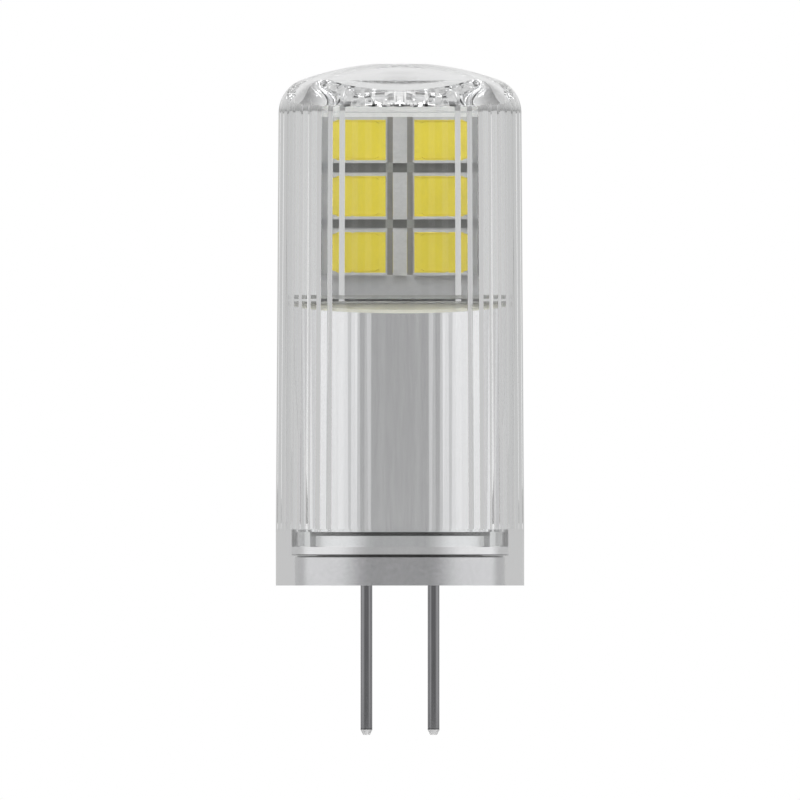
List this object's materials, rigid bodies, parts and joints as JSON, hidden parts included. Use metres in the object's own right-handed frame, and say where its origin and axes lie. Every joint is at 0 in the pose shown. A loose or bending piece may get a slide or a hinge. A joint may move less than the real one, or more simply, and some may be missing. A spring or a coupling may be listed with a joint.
{
  "type": "led capsule bulb",
  "caption": "Clear domed LED capsule bulb with a fluted cover, a board of yellow-windowed lights above a metal sleeve, and two straight contact pins.",
  "frame": {"origin": "midway between the two contact pins, in the flat face of the base they come out of", "axes": "+Z along the bulb's axis from the base to the dome, +X along the line of the two pins, -Y out of the front of the light board"},
  "size_m": [0.0148, 0.0148, 0.04],
  "materials": {
    "clear_plastic": "clear and polished, fluted inside",
    "circuit_board": "grey solder mask",
    "package_white": "moulded, satin",
    "phosphor_yellow": "silicone with yellow phosphor",
    "collar_white": "moulded, satin",
    "cap_white": "moulded, satin",
    "sleeve_metal": "drawn and polished",
    "plug_grey": "moulded, satin",
    "pin_metal": "tinned wire",
    "solder_metal": "soldered, bright",
    "package_black": "moulded, matt",
    "resistor_black": "glazed, with tinned ends",
    "capacitor_tan": "ceramic, with tinned ends"
  },
  "bodies": {
    "root": {"clear_cover": "clear_plastic", "led_board": "circuit_board", "led_front_1": "package_white", "led_front_2": "package_white", "led_front_3": "package_white", "led_front_4": "package_white", "led_front_5": "package_white", "led_front_6": "package_white", "led_back_1": "package_white", "led_back_2": "package_white", "led_back_3": "package_white", "led_back_4": "package_white", "led_back_5": "package_white", "led_back_6": "package_white", "phosphor_front_1": "phosphor_yellow", "phosphor_front_2": "phosphor_yellow", "phosphor_front_3": "phosphor_yellow", "phosphor_front_4": "phosphor_yellow", "phosphor_front_5": "phosphor_yellow", "phosphor_front_6": "phosphor_yellow", "phosphor_back_1": "phosphor_yellow", "phosphor_back_2": "phosphor_yellow", "phosphor_back_3": "phosphor_yellow", "phosphor_back_4": "phosphor_yellow", "phosphor_back_5": "phosphor_yellow", "phosphor_back_6": "phosphor_yellow", "board_collar": "collar_white", "reflector_cap": "cap_white", "metal_sleeve": "sleeve_metal", "base_plug": "plug_grey", "pin_left": "pin_metal", "pin_right": "pin_metal", "solder_left": "solder_metal", "solder_right": "solder_metal", "bridge_rectifier": "package_black", "driver_chip": "package_black", "output_diode": "package_black", "power_inductor": "package_black", "sense_resistor_1": "resistor_black", "sense_resistor_2": "resistor_black", "input_capacitor": "capacitor_tan", "output_capacitor": "capacitor_tan"}
  },
  "joints": []
}
